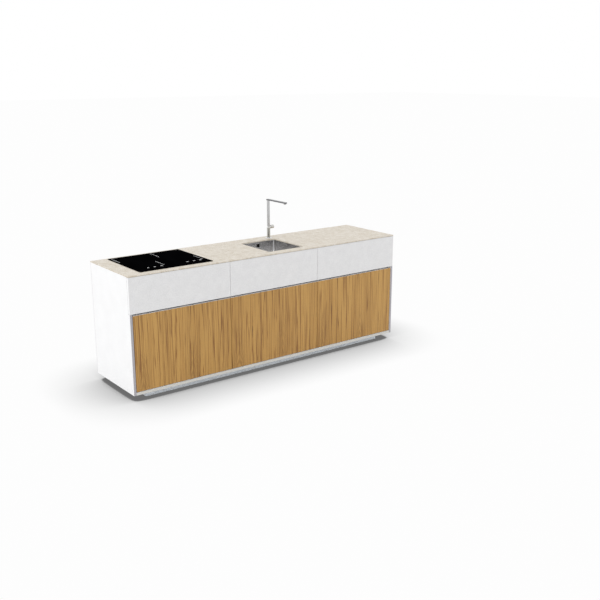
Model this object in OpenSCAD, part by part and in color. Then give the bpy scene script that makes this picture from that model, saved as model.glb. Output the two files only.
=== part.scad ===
// Outdoor kitchen: three drawer modules under one worktop, with a glass hob, an
// under-mounted sink and a swivel tap. Millimetres. The origin is on the floor, under the
// middle of the worktop. X runs along the kitchen to the right, Y to the back, Z up.

/* [Cabinet] */
// Length of the whole kitchen
overall_w = 2420; // [2300:10:3000]
// Depth of the worktop
overall_d = 600; // [590:5:700]
// Height of the worktop's upper face
overall_h = 900; // [880:5:960]
// Thickness of the worktop
worktop_t = 8; // [6:1:20]
// Thickness of end panels and inner side boards
board_t = 18; // [16:1:22]
// Thickness of the base board, whose front edge shows
base_t = 20; // [18:1:25]
// Thickness of the back panels
back_t = 8; // [6:1:12]
// How far the back panels lie in from the worktop's back edge
back_inset = 3; // [3:0.5:6]
// Gap between two back panels
back_gap = 2; // [1:0.5:4]
// Depth of each top rail, front to back
top_rail_d = 28; // [22:1:30]
// Thickness of each top rail
top_rail_t = 18; // [15:1:22]

/* [Plinth and feet] */
// Height of the plinth, from the floor to the base board
plinth_h = 50; // [50:1:80]
// Thickness of the plinth boards
plinth_t = 15; // [12:1:18]
// Setback of the plinth from the front and the back
plinth_setback = 60; // [45:1:80]
// Setback of the plinth from each end
plinth_end_setback = 118; // [80:1:150]
// Gap between the plinth and the floor
plinth_floor_gap = 2; // [1:0.5:5]
// Distance of the feet from the plinth's outer faces
foot_inset = 50; // [45:1:80]
// Diameter of a foot's pad
foot_pad_d = 50; // [40:1:56]
// Thickness of a foot's pad
foot_pad_h = 8; // [6:1:10]
// Diameter of a foot's screw
foot_screw_d = 10; // [8:1:12]
// Diameter of a foot's socket
foot_socket_d = 44; // [36:1:50]
// Height of a foot's socket
foot_socket_h = 30; // [25:1:34]
// Gap between the screw's upper end and the base board
foot_screw_head_gap = 2; // [1:0.5:5]

/* [Fronts] */
// Thickness of the fronts
front_t = 20; // [16:1:25]
// Height of the upper fronts
upper_front_h = 256; // [240:1:270]
// Gap between the worktop and the upper fronts
top_gap = 2; // [1:0.5:4]
// Height of the finger gap between upper and lower fronts
grip_gap = 12; // [10:1:24]
// Gap between two neighbouring fronts
front_gap = 3; // [2:0.5:5]
// Gap between the lower fronts and the end panels and base board
edge_gap = 4; // [2:0.5:6]
// Gap between a closed front and the boards behind it
bumper_gap = 1; // [0.5:0.5:2]

/* [Grip channels] */
// Height of the channels behind the finger gap
channel_h = 56; // [46:1:60]
// Depth of the channels
channel_d = 25; // [20:1:40]
// Wall of the channels
channel_t = 2; // [1.5:0.5:3]
// Gap between the channels and the notches in the boards
channel_fit = 0.3; // [0.2:0.1:1]
// Gap between the channels of two modules
channel_gap = 0.6; // [0.4:0.1:2]

/* [Drawers] */
// Room between a module's wall and a drawer box, filled by the slide
slide_w = 13; // [12.5:0.5:16]
// Thickness of the sides of a drawer box
box_side_t = 13; // [12:1:16]
// Thickness of the base and back of a drawer box
box_panel_t = 12; // [9:1:16]
// Room for services between the drawer boxes and the back panels
service_room = 69; // [50:1:120]
// Height of the upper drawer boxes
upper_box_h = 150; // [110:5:165]
// Height of the lower drawer boxes
lower_box_h = 250; // [150:5:320]
// Height of an upper box above the grip channels
upper_box_rise = 8; // [4:1:15]
// Height of a lower box above the base board
lower_box_rise = 14; // [8:1:30]
// Height of a slide
slide_h = 45; // [40:1:50]
// Distance of a slide's end from the back of its box
slide_end_gap = 14; // [5:1:60]
// How much shorter the middle channel is than the others
middle_rail_short = 20; // [0:1:40]
// Wall of a slide's channels
slide_t = 1.5; // [1.2:0.1:2]
// Running gap between the channels of a slide
slide_gap = 0.3; // [0.2:0.05:0.5]
// Height of a slide's centre above the bottom of its box
slide_rise = 40; // [30:1:60]
// Setback of a slide behind the boards' front edge
slide_setback = 5; // [2:1:20]

/* [Hob] */
// Width of the glass
hob_w = 580; // [560:5:640]
// Thickness of the glass
glass_t = 4; // [4:0.5:6]
// Corner radius of the glass
glass_r = 5; // [2:1:12]
// Distance of the glass from the kitchen's left end
hob_left = 121; // [90:1:130]
// Distance of the glass from the worktop's front edge
hob_front = 60; // [52:1:62]
// Distance of the glass from the worktop's back edge
hob_rear = 30; // [28:1:40]
// Width of worktop that the glass covers round its cut-out
hob_lap = 10; // [8:0.5:14]
// Gap between the casing and the cut-out
casing_gap = 3; // [2:0.5:6]
// Depth of the casing below the glass
casing_h = 44; // [40:1:50]
// Thickness of the casing's sheet
casing_t = 1; // [0.8:0.1:1.5]
// Room inside the casing's front wall for the controls
control_room = 100; // [80:1:140]
// Gap between the rear coils and the casing's back wall
coil_rear_gap = 16; // [8:1:40]
// Gap between the outer coils and the casing's side walls
coil_side_gap = 30; // [10:1:60]
// Gap between a front coil and the rear coil behind it
coil_gap = 14; // [6:1:30]
// Thickness of a coil
coil_t = 8; // [6:1:10]
// Gap between the coils and the glass
coil_glass_gap = 4; // [2:1:6]
// Radius of the fan
fan_r = 36; // [30:1:40]
// Height of the fan
fan_h = 12; // [10:1:16]
// Radius of the fan's pin
fan_pin_r = 2; // [1.5:0.5:3]
// Radial clearance of the fan on its pin
fan_fit = 0.05; // [0.02:0.01:0.1]
// Radius of the hole for the supply cable in the casing's gland
gland_bore_r = 5; // [4:0.5:6]
// Radius of the gland
gland_r = 8; // [7:0.5:10]
// Length of the gland beside the casing
gland_l = 16; // [12:1:18]
// Distance of the gland from the casing's back wall
gland_rear = 40; // [30:1:60]

/* [Sink] */
// Width of the opening in the worktop
sink_w = 330; // [300:5:400]
// Distance of the opening from the middle module's right wall
sink_side = 60; // [45:1:120]
// Distance of the opening from the worktop's front edge
sink_front = 75; // [70:1:85]
// Distance of the opening from the worktop's back edge
sink_rear = 130; // [125:1:160]
// Corner radius of the opening
sink_r = 12; // [8:1:30]
// How far the bowl's walls lie outside the opening
bowl_reveal = 4; // [2:0.5:5]
// Depth of the bowl below the worktop
bowl_h = 200; // [150:5:220]
// Thickness of the bowl's sheet
bowl_t = 1; // [0.8:0.1:1.5]
// Width of the bowl's flange under the worktop
bowl_flange = 18; // [12:1:18]
// Distance of the waste hole behind the bowl's middle
waste_back = 60; // [0:5:70]
// Radius of the waste hole
waste_hole_r = 45; // [44:0.5:48]
// Width of the overflow
overflow_w = 28; // [20:1:36]
// Height of the overflow
overflow_h = 26; // [18:1:30]
// Depth of the overflow's middle below the worktop's upper face
overflow_drop = 39; // [34:1:60]
// Distance of the overflow from the bowl's middle, to the right
overflow_x = 8; // [0:1:20]

/* [Waste and trap] */
// Wall of the waste fittings
waste_t = 1.5; // [1.2:0.1:2.5]
// Depth of the strainer cup below the bowl's floor
strainer_h = 42; // [34:1:50]
// Length of the tail below the strainer cup
waste_tail_l = 30; // [24:1:50]
// Radius of the waste and trap pipes
pipe_r = 20; // [16:1:20]
// Wall of the waste and trap pipes
pipe_t = 2; // [1.5:0.5:3]
// Radius of the trap's cup
trap_r = 32; // [30:1:40]
// Height of the trap's cup
trap_cup_h = 80; // [60:5:100]
// Height of the trap's head above its cup
trap_head_h = 62; // [56:1:80]
// Distance of the outlet nut's face from the trap's axis
outlet_nut_reach = 52; // [40:1:60]
// Distance between the end of the trap's outlet and the back panel
trap_outlet_gap = 5; // [3:1:20]
// Radius of the hole in the back panel for the waste pipe
waste_pass_r = 40; // [30:1:50]
// Radius of the holes in the back panels for water and power
supply_pass_r = 25; // [20:1:35]

/* [Tap] */
// Distance of the tap's axis behind the sink opening
tap_back = 50; // [48:1:56]
// Distance of the tap's axis in from the sink opening's right edge
tap_in = 19; // [0:1:40]
// Height of the tap above the worktop
tap_h = 320; // [220:5:400]
// Diameter of the tap's base ring
tap_ring_d = 54; // [46:1:60]
// Height of the tap's base ring
tap_ring_h = 6; // [4:0.5:10]
// Diameter of the tap's lower body
tap_body_d = 27; // [26:0.5:32]
// Height of the tap's lower body
tap_body_h = 96; // [80:1:120]
// Diameter of the turning column
column_d = 23.5; // [21:0.5:25]
// Running gap between the column and the body below it
column_gap = 0.3; // [0.2:0.1:0.5]
// Radius of the column's spigot in the body
spigot_r = 9; // [7:0.5:9.5]
// Length of the column's spigot
spigot_l = 28; // [20:1:40]
// Gap under the spigot's end
spigot_end_gap = 1; // [0.3:0.1:3]
// Radial clearance of every turning fit in the tap
tap_fit = 0.05; // [0.02:0.01:0.1]
// Reach of the spout from the column's axis
spout_reach = 240; // [180:5:280]
// Thickness of the flat spout
spout_t = 9; // [7:0.5:14]
// Diameter of the aerator
aerator_d = 20; // [16:1:22]
// Height of the aerator
aerator_h = 9; // [6:1:14]
// Diameter of the side knob
knob_d = 29; // [26:1:34]
// Length of the side knob
knob_l = 28; // [22:1:40]
// Distance of the knob's axis below the body's upper end
knob_drop = 3.5; // [0:0.5:20]
// Radius of the knob's spindle
spindle_r = 5; // [4:0.5:6]
// Radius of the tap's shank through the worktop
shank_r = 16.5; // [15:0.5:17]
// Length of the shank below the worktop's upper face
shank_l = 50; // [40:1:60]
// Clearance round the shank in the worktop's hole
shank_fit = 1; // [0.5:0.5:2]
// Radius of the copper inlet tails
tail_r = 5; // [4:0.5:6]
// Length of the inlet tails below the shank
tail_l = 230; // [150:10:300]

/* [Screws] */
// Radius of a back panel screw
screw_r = 2; // [1.5:0.25:2.5]
// Radius of a screw's head
screw_head_r = 5; // [4:0.5:6]
// Height of a screw's head
screw_head_h = 2.2; // [1.5:0.1:2.6]
// Depth of a screw in the board
screw_l = 24; // [16:1:30]
// Distance of the outer screws from a panel's upper and lower edges
screw_end = 60; // [40:5:120]
// Clearance round a screw in its holes
screw_fit = 0.1; // [0.05:0.05:0.3]

/* [Hidden] */
$fn = 64;
// Length by which a cutting body passes the face it cuts
past = 1;
// Clearance between a nut or ring and the thread or body inside it
thread_fit = 0.1;
// Gap under a piece that rests on another but is lifted or turned by hand
rest_gap = 0.3;

// Planes of the cabinet
half_w = overall_w / 2;
half_d = overall_d / 2;
front_y = -half_d;
front_back_y = front_y + front_t;
carcase_y = front_back_y + bumper_gap;
back_y = half_d - back_inset;
panel_y = back_y - back_t;
base_z = plinth_h;
floor_z = base_z + base_t;
under_z = overall_h - worktop_t;
upper_top_z = under_z - top_gap;
upper_z = upper_top_z - upper_front_h;
lower_top_z = upper_z - grip_gap;
lower_z = floor_z + edge_gap;
grip_z = (upper_z + lower_top_z) / 2;

// Modules: left, middle and right
module_w = overall_w / 3;
clear_w = module_w - 2 * board_t;
module_x = [-module_w, 0, module_w];
LEFT = 0;
MIDDLE = 1;
RIGHT = 2;

// Drawer boxes
upper_box_z = grip_z + channel_h / 2 + upper_box_rise;
lower_box_z = floor_z + lower_box_rise;
box_back_y = panel_y - service_room;
slide_y = carcase_y + slide_setback;
slide_l = box_back_y - slide_end_gap - slide_y;
// The middle and inner channels of a slide nest in the outer one
middle_rail_h = slide_h - 2 * slide_t - 2 * slide_gap;
inner_rail_h = middle_rail_h - 2 * slide_t - 2 * slide_gap;
middle_rail_x = slide_t + slide_gap;
inner_rail_x = middle_rail_x + slide_t + slide_gap;
middle_rail_l = slide_l - middle_rail_short;
// Joint between two boards of a drawer box
board_joint = 0.1;

// Hob
hob_d = overall_d - hob_front - hob_rear;
hob_x = -half_w + hob_left + hob_w / 2;
hob_y = front_y + hob_front + hob_d / 2;
hob_cut_w = hob_w - 2 * hob_lap;
hob_cut_d = hob_d - 2 * hob_lap;
casing_w = hob_cut_w - 2 * casing_gap;
casing_d = hob_cut_d - 2 * casing_gap;
casing_z = overall_h - casing_h;
casing_floor_z = casing_z + casing_t;
// Two coils, one behind the other, fill the room behind the controls
coil_r = (casing_d - 2 * casing_t - control_room - coil_rear_gap - coil_gap) / 4;
coil_dy = coil_r + coil_gap / 2;
coil_dx = casing_w / 2 - casing_t - coil_side_gap - coil_r;
zone_back = casing_d / 2 - casing_t - coil_rear_gap - coil_r - coil_dy;
zone_y = hob_y + zone_back;
coil_top_z = overall_h - coil_glass_gap;
coil_post_r = 15;
fan_seat_h = 3;
fan_z = casing_floor_z + fan_seat_h + rest_gap;
gland_low_gap = 2;
gland_y = casing_d / 2 - gland_rear;
gland_z = casing_z + gland_r + gland_low_gap;

// Sink
sink_d = overall_d - sink_front - sink_rear;
sink_x = clear_w / 2 - sink_side - sink_w / 2;
sink_y = front_y + sink_front + sink_d / 2;
bowl_w = sink_w + 2 * bowl_reveal;
bowl_d = sink_d + 2 * bowl_reveal;
bowl_r = sink_r + bowl_reveal;
bowl_floor_z = overall_h - bowl_h;
bowl_back_y = sink_y + bowl_d / 2 + bowl_t;
overflow_z = overall_h - overflow_drop;
overflow_mid_x = sink_x + overflow_x;
waste_y = sink_y + waste_back;

// Waste fittings, from the bowl's floor down
waste_flange_lap = 10;
waste_flange_r = waste_hole_r + waste_flange_lap;
waste_flange_h = 2;
cup_gap = 1;
cup_r = waste_hole_r - cup_gap;
cup_inner_r = cup_r - waste_t;
cup_z = bowl_floor_z - strainer_h;
tail_end_z = cup_z - waste_tail_l;
lock_nut_h = 10;
lock_nut_wall = 8;
lock_nut_r = cup_r + lock_nut_wall;
basket_gap = 0.5;
basket_r = cup_inner_r - basket_gap;
basket_t = 1;
basket_z = cup_z + waste_t + rest_gap;
overflow_pipe_r = 10;
overflow_box_d = 16;
overflow_run_z = cup_z + overflow_pipe_r + waste_t;
trap_nut_h = 24;
trap_nut_wall = 8;
trap_nut_r = pipe_r + trap_nut_wall;
outlet_nut_wall = 6;
outlet_nut_r = pipe_r + outlet_nut_wall;
// How far the waste's tail stands above the trap's nut face
tail_nut_drop = 4;
trap_nut_z = tail_end_z - tail_nut_drop;
trap_head_wall_step = 2;
trap_head_r = trap_r - trap_head_wall_step;
trap_roof = 10;
trap_head_z = trap_nut_z - trap_head_h;
trap_cup_z = trap_head_z - trap_cup_h;
trap_outlet_z = trap_head_z + trap_head_h / 2;
trap_outlet_y = panel_y - trap_outlet_gap;
supply_pass_x = 150;

// Tap
tap_x = sink_x + sink_w / 2 - tap_in;
tap_y = sink_y + sink_d / 2 + tap_back;
tap_body_top_z = overall_h + tap_body_h;
column_z = tap_body_top_z + column_gap;
spout_z = overall_h + tap_h - spout_t;
tap_hole_r = shank_r + shank_fit;
knob_z = tap_body_top_z - knob_drop;
boss_reach = 4;
knob_x = tap_body_d / 2 + boss_reach;
knob_end_wall = 7;
shank_z = overall_h - shank_l;
tail_dx = 9;

// Feet
foot_x = [for (x = [half_w - plinth_end_setback - foot_inset, module_w / 2]) each [-x, x]];
foot_places_x = [foot_x[0], foot_x[2], foot_x[3], foot_x[1]];
foot_places_y = half_d - plinth_setback - foot_inset;

// Block between two opposite corners
module block(low, high) {
  translate(low) cube(high - low);
}

// Flat rectangle with round corners, centred on the origin
module round_rect(w, d, r) {
  square([w - 2 * r, d], center = true);
  square([w, d - 2 * r], center = true);
  for (x = [-1, 1], y = [-1, 1]) translate([x * (w / 2 - r), y * (d / 2 - r)]) circle(r);
}

// Plate with round corners, centred in X and Y
module round_plate(w, d, r, h) {
  linear_extrude(h) round_rect(w, d, r);
}

// C channel along Y: its web lies at x = 0 and its mouth faces +X
module channel(l, h, d, t) {
  difference() {
    block([0, 0, -h / 2], [d, l, h / 2]);
    block([t, -past, -h / 2 + t], [d + past, l + past, h / 2 - t]);
  }
}

// The same piece at the left and right of a module
module both_sides(m) {
  translate([module_x[m], 0, 0]) {
    children();
    mirror([1, 0, 0]) children();
  }
}

// Heights of the screws in every back panel
function screw_heights() = [base_z + screw_end, (base_z + under_z) / 2, under_z - screw_end];

// Holes for a row of back panel screws at x
module screw_holes(x) {
  for (z = screw_heights())
    translate([x, panel_y - screw_l - past, z]) rotate([-90, 0, 0])
      cylinder(r = screw_r + screw_fit, h = screw_l + back_t + 2 * past);
}

module worktop() {
  cut_h = worktop_t + 2 * past;
  color([0.85, 0.83, 0.78])
  difference() {
    block([-half_w, front_y, under_z], [half_w, half_d, overall_h]);
    translate([hob_x, hob_y, under_z - past]) round_plate(hob_cut_w, hob_cut_d, glass_r, cut_h);
    translate([sink_x, sink_y, under_z - past]) round_plate(sink_w, sink_d, sink_r, cut_h);
    translate([tap_x, tap_y, under_z - past]) cylinder(r = tap_hole_r, h = cut_h);
  }
}

// End panel: side is -1 at the left and 1 at the right
module side_panel(side) {
  x = side * (half_w - board_t / 2);
  color([0.95, 0.95, 0.95])
  difference() {
    translate([x, 0, 0]) {
      block([-board_t / 2, front_y, base_z], [board_t / 2, panel_y, upper_z - top_gap]);
      block([-board_t / 2, carcase_y, upper_z - top_gap], [board_t / 2, panel_y, under_z]);
    }
    screw_holes(x);
  }
}

// Boards between the modules, two at each joint, notched for the grip channels
module inner_side_boards() {
  notch_d = channel_d + channel_fit;
  notch_h = channel_h + 2 * channel_fit;
  for (x = [-1, 1] * module_w / 2, s = [-1, 1])
    color([0.86, 0.86, 0.86])
    difference() {
      translate([x + s * board_t / 2, 0, 0])
        block([-board_t / 2, carcase_y, floor_z], [board_t / 2, panel_y, under_z]);
      block([x - board_t - past, carcase_y - past, grip_z - notch_h / 2],
            [x + board_t + past, carcase_y + notch_d, grip_z + notch_h / 2]);
      screw_holes(x + s * board_t / 2);
    }
}

module base_board() {
  color([0.86, 0.86, 0.86])
    block([-half_w + board_t, front_y, base_z], [half_w - board_t, panel_y, floor_z]);
}

// Back panel of one module
module back_panel(m) {
  x0 = m == LEFT ? -half_w : module_x[m] - module_w / 2 + back_gap / 2;
  x1 = m == RIGHT ? half_w : module_x[m] + module_w / 2 - back_gap / 2;
  color([0.86, 0.86, 0.87])
  difference() {
    block([x0, panel_y, base_z], [x1, back_y, under_z]);
    screw_holes(module_x[m] - module_w / 2 + board_t / 2);
    screw_holes(module_x[m] + module_w / 2 - board_t / 2);
    if (m == MIDDLE) {
      pass_hole(sink_x, waste_pass_r, trap_outlet_z);
      pass_hole(sink_x + supply_pass_x, supply_pass_r, trap_outlet_z);
    }
    if (m == LEFT) pass_hole(hob_x, supply_pass_r, trap_outlet_z);
  }
}

// Round hole through a back panel
module pass_hole(x, r, z) {
  translate([x, panel_y - past, z]) rotate([-90, 0, 0]) cylinder(r = r, h = back_t + 2 * past);
}

// Rails that carry the worktop between the boards of each module
module top_rails() {
  end_x = clear_w / 2 - board_joint;
  color([0.86, 0.86, 0.86])
  for (x = module_x) translate([x, 0, 0]) {
    block([-end_x, carcase_y, under_z - top_rail_t], [end_x, carcase_y + top_rail_d, under_z]);
    block([-end_x, panel_y - top_rail_d, under_z - top_rail_t], [end_x, panel_y, under_z]);
  }
}

// Extruded channels behind the finger gap, one to each module, from end panel to end panel
module grip_channels() {
  end_x = half_w - board_t;
  joint_x = module_w / 2;
  color([0.45, 0.45, 0.46])
  for (span = [[-end_x, -joint_x - channel_gap / 2],
               [-joint_x + channel_gap / 2, joint_x - channel_gap / 2],
               [joint_x + channel_gap / 2, end_x]])
    difference() {
      block([span[0], carcase_y, grip_z - channel_h / 2],
            [span[1], carcase_y + channel_d, grip_z + channel_h / 2]);
      block([span[0] - past, carcase_y - past, grip_z - channel_h / 2 + channel_t],
            [span[1] + past, carcase_y + channel_d - channel_t, grip_z + channel_h / 2 - channel_t]);
    }
}

// Long plinth board: side is -1 at the front and 1 at the back
module long_plinth(side) {
  x = half_w - plinth_end_setback;
  y = half_d - plinth_setback - plinth_t / 2;
  color([0.72, 0.72, 0.75])
    translate([0, side * y, 0])
      block([-x, -plinth_t / 2, plinth_floor_gap], [x, plinth_t / 2, base_z]);
}

module end_plinths() {
  x = half_w - plinth_end_setback - plinth_t / 2;
  y = half_d - plinth_setback - plinth_t;
  color([0.72, 0.72, 0.75])
  for (side = [-1, 1]) translate([side * x, 0, 0])
    block([-plinth_t / 2, -y, plinth_floor_gap], [plinth_t / 2, y, base_z]);
}

// Threaded sockets under the base board
module foot_sockets() {
  color([0.12, 0.12, 0.12])
  for (x = foot_places_x, y = [-1, 1] * foot_places_y)
    translate([x, y, base_z - foot_socket_h])
      difference() {
        cylinder(r = foot_socket_d / 2, h = foot_socket_h);
        translate([0, 0, -past])
          cylinder(r = foot_screw_d / 2 + tap_fit, h = foot_socket_h - foot_screw_head_gap + 2 * past);
      }
}

// Levelling foot: row is -1 at the front and 1 at the back, i counts from the left
module foot(row, i) {
  bevel_h = 2;
  bevel_w = 6;
  color([0.2, 0.2, 0.2])
  translate([foot_places_x[i], row * foot_places_y, 0]) {
    cylinder(r = foot_pad_d / 2, h = foot_pad_h - bevel_h);
    translate([0, 0, foot_pad_h - bevel_h])
      cylinder(r1 = foot_pad_d / 2, r2 = foot_pad_d / 2 - bevel_w, h = bevel_h);
    cylinder(r = foot_screw_d / 2, h = base_z - foot_screw_head_gap);
  }
}

module hob_glass() {
  color([0.03, 0.03, 0.035])
    translate([hob_x, hob_y, overall_h]) round_plate(hob_w, hob_d, glass_r, glass_t);
}

// Sheet casing under the glass, with the fan's pin, its air slots and the cable gland
module hob_casing() {
  wall_r = 4;
  slot_in = 12;
  slot_l = 20;
  slot_w = 4;
  slots = 8;
  seat_rim = 3;
  pin_end = 2;
  color([0.6, 0.6, 0.62])
  translate([hob_x, hob_y, casing_z])
  difference() {
    union() {
      difference() {
        round_plate(casing_w, casing_d, wall_r, casing_h);
        translate([0, 0, casing_t])
          round_plate(casing_w - 2 * casing_t, casing_d - 2 * casing_t, wall_r - casing_t, casing_h);
      }
      translate([0, zone_back, 0]) {
        cylinder(r = fan_pin_r + seat_rim, h = casing_t + fan_seat_h);
        cylinder(r = fan_pin_r, h = casing_t + fan_seat_h + fan_h + pin_end);
      }
      translate([casing_w / 2 - casing_t, gland_y, gland_z - casing_z]) rotate([0, 90, 0])
        cylinder(r = gland_r, h = gland_l + casing_t);
    }
    translate([casing_w / 2 - casing_t - past, gland_y, gland_z - casing_z]) rotate([0, 90, 0])
      cylinder(r = gland_bore_r, h = gland_l + casing_t + 2 * past);
    for (k = [0 : slots - 1]) translate([0, zone_back, 0]) rotate([0, 0, (k + 0.5) * 360 / slots])
      block([slot_in, -slot_w / 2, -past], [slot_in + slot_l, slot_w / 2, casing_t + past]);
  }
}

// Four flat coils, each on a post from the casing's floor
module hob_coils() {
  core_r = 12;
  color([0.72, 0.42, 0.22])
  for (x = [-1, 1] * coil_dx, y = [-1, 1] * coil_dy)
    translate([hob_x + x, zone_y + y, casing_floor_z])
      difference() {
        union() {
          cylinder(r = coil_post_r, h = coil_top_z - casing_floor_z);
          translate([0, 0, coil_top_z - casing_floor_z - coil_t]) cylinder(r = coil_r, h = coil_t);
        }
        translate([0, 0, -past]) cylinder(r = core_r, h = casing_h + past);
      }
}

// Touch control board behind the glass's front edge, on four stand-offs
module hob_control_board() {
  board_w = 260;
  board_d = 44;
  sheet_t = 2;
  post_r = 3;
  post_inset = 8;
  front_room = 20;
  board_drop = 4;
  z = coil_top_z - board_drop;
  color([0.1, 0.35, 0.2])
  translate([hob_x, hob_y - casing_d / 2 + front_room + board_d / 2, 0]) {
    block([-board_w / 2, -board_d / 2, z - sheet_t], [board_w / 2, board_d / 2, z]);
    for (x = [-1, 1] * (board_w / 2 - post_inset), y = [-1, 1] * (board_d / 2 - post_inset))
      translate([x, y, casing_floor_z]) cylinder(r = post_r, h = z - sheet_t - casing_floor_z);
  }
}

// Cooling fan with seven blades, turning on the casing's pin
module hob_fan() {
  hub_r = 12;
  blade_t = 1.5;
  blade_inset = 1;
  blade_root = 2;
  disc_t = 1.5;
  blades = 7;
  color([0.08, 0.08, 0.08])
  translate([hob_x, zone_y, fan_z])
  difference() {
    union() {
      cylinder(r = hub_r, h = fan_h);
      cylinder(r = fan_r, h = disc_t);
      for (k = [0 : blades - 1]) rotate([0, 0, k * 360 / blades])
        block([hub_r - blade_root, -blade_t / 2, disc_t / 2],
              [fan_r - blade_inset, blade_t / 2, fan_h - blade_inset]);
    }
    translate([0, 0, -past]) cylinder(r = fan_pin_r + fan_fit, h = fan_h + 2 * past);
  }
}

// Four angle clamps that hold the casing up against the worktop's underside
module hob_clamps() {
  clamp_w = 24;
  clamp_t = 1.2;
  clamp_h = 22;
  clamp_end = 72;
  clamp_y = casing_d / 2 - clamp_end;
  reach = 10;
  top_z = under_z - rest_gap;
  x = casing_w / 2;
  color([0.75, 0.75, 0.77])
  for (y = [-1, 1] * clamp_y)
    translate([hob_x, hob_y + y, 0])
      for (s = [0, 1]) mirror([s, 0, 0]) {
        block([x, -clamp_w / 2, top_z - clamp_h], [x + clamp_t, clamp_w / 2, top_z]);
        block([x + clamp_t, -clamp_w / 2, top_z - clamp_t], [x + clamp_t + reach, clamp_w / 2, top_z]);
      }
}

module sink_bowl() {
  color([0.68, 0.69, 0.7])
  difference() {
    union() {
      translate([sink_x, sink_y, under_z - bowl_t])
        round_plate(bowl_w + 2 * bowl_flange, bowl_d + 2 * bowl_flange, bowl_r + bowl_t, bowl_t);
      translate([sink_x, sink_y, bowl_floor_z - bowl_t])
        round_plate(bowl_w + 2 * bowl_t, bowl_d + 2 * bowl_t, bowl_r + bowl_t,
                    under_z - bowl_floor_z + bowl_t);
    }
    translate([sink_x, sink_y, bowl_floor_z]) round_plate(bowl_w, bowl_d, bowl_r, bowl_h);
    translate([sink_x, waste_y, bowl_floor_z - bowl_t - past])
      cylinder(r = waste_hole_r, h = bowl_t + 2 * past);
    block([overflow_mid_x - overflow_w / 2, bowl_back_y - bowl_t - past, overflow_z - overflow_h / 2],
          [overflow_mid_x + overflow_w / 2, bowl_back_y + past, overflow_z + overflow_h / 2]);
  }
}

// Clips under the bowl's flange, two on each long side
module sink_clips() {
  clip_w = 20;
  clip_t = 2;
  clip_reach = 12;
  clip_wall_gap = 6;
  clip_rim = bowl_flange - clip_wall_gap;
  clip_edge_gap = 1;
  clip_end = 68;
  clip_dy = sink_d / 2 - clip_end;
  x = bowl_w / 2 + bowl_flange;
  color([0.75, 0.75, 0.77])
  for (y = [-1, 1] * clip_dy)
    translate([sink_x, sink_y + y, 0])
      for (s = [0, 1]) mirror([s, 0, 0]) {
        block([x - clip_rim, -clip_w / 2, under_z - bowl_t - clip_t],
              [x + clip_reach, clip_w / 2, under_z - bowl_t]);
        block([x + clip_edge_gap, -clip_w / 2, under_z - bowl_t], [x + clip_reach, clip_w / 2, under_z]);
      }
}

// Thin frame round the overflow, on the bowl's back wall
module overflow_frame() {
  rim = 4;
  rim_t = 1.2;
  y = bowl_back_y - bowl_t;
  color([0.8, 0.8, 0.81])
  difference() {
    block([overflow_mid_x - overflow_w / 2 - rim, y - rim_t, overflow_z - overflow_h / 2 - rim],
          [overflow_mid_x + overflow_w / 2 + rim, y, overflow_z + overflow_h / 2 + rim]);
    block([overflow_mid_x - overflow_w / 2, y - rim_t - past, overflow_z - overflow_h / 2],
          [overflow_mid_x + overflow_w / 2, y + past, overflow_z + overflow_h / 2]);
  }
}

// Overflow box behind the bowl, with its pipe down and forward to the waste
module overflow_pipe() {
  wall = 4;
  box_w = overflow_w + 2 * wall;
  box_h = overflow_h + 2 * wall;
  back_wall = 2;
  pipe_gap = 1;
  y1 = bowl_back_y + overflow_box_d;
  pipe_y = bowl_back_y + overflow_pipe_r + pipe_gap;
  run_end_y = waste_y + cup_r + rest_gap;
  color([0.06, 0.06, 0.06])
  difference() {
    union() {
      block([overflow_mid_x - box_w / 2, bowl_back_y, overflow_z - box_h / 2],
            [overflow_mid_x + box_w / 2, y1, overflow_z + box_h / 2]);
      translate([overflow_mid_x, pipe_y, overflow_run_z - overflow_pipe_r])
        cylinder(r = overflow_pipe_r, h = overflow_z - overflow_run_z + overflow_pipe_r);
      translate([overflow_mid_x, run_end_y, overflow_run_z]) rotate([-90, 0, 0])
        cylinder(r = overflow_pipe_r, h = pipe_y - run_end_y);
    }
    block([overflow_mid_x - overflow_w / 2, bowl_back_y - past, overflow_z - overflow_h / 2],
          [overflow_mid_x + overflow_w / 2, y1 - back_wall, overflow_z + overflow_h / 2]);
  }
}

// Strainer cup with its flange, tail and lock nut
module waste_body() {
  color([0.7, 0.7, 0.72])
  translate([sink_x, waste_y, 0]) {
    rotate_extrude() polygon([
      [cup_inner_r, bowl_floor_z + waste_flange_h],
      [waste_flange_r - waste_flange_h, bowl_floor_z + waste_flange_h],
      [waste_flange_r, bowl_floor_z],
      [cup_r, bowl_floor_z],
      [cup_r, cup_z],
      [pipe_r, cup_z],
      [pipe_r, tail_end_z],
      [pipe_r - pipe_t, tail_end_z],
      [pipe_r - pipe_t, cup_z + waste_t],
      [cup_inner_r, cup_z + waste_t]
    ]);
    translate([0, 0, bowl_floor_z - bowl_t - lock_nut_h])
      difference() {
        cylinder(r = lock_nut_r, h = lock_nut_h);
        translate([0, 0, -past]) cylinder(r = cup_r + thread_fit, h = lock_nut_h + 2 * past);
      }
  }
}

// Lift-out basket with a knob in its middle and drain holes in its floor
module strainer_basket() {
  knob_r = 5;
  knob_h = 6;
  stem_r = 3;
  stem_rise = 4;
  hole_r = 3;
  holes = 8;
  h = bowl_floor_z - basket_z;
  color([0.75, 0.75, 0.77])
  translate([sink_x, waste_y, basket_z])
  difference() {
    union() {
      difference() {
        cylinder(r = basket_r, h = h);
        translate([0, 0, basket_t]) cylinder(r = basket_r - basket_t, h = h);
      }
      cylinder(r = stem_r, h = h + stem_rise);
      translate([0, 0, h + stem_rise]) cylinder(r = knob_r, h = knob_h);
    }
    for (k = [0 : holes - 1]) rotate([0, 0, k * 360 / holes])
      translate([basket_r / 2, 0, -past]) cylinder(r = hole_r, h = basket_t + 2 * past);
  }
}

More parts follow.
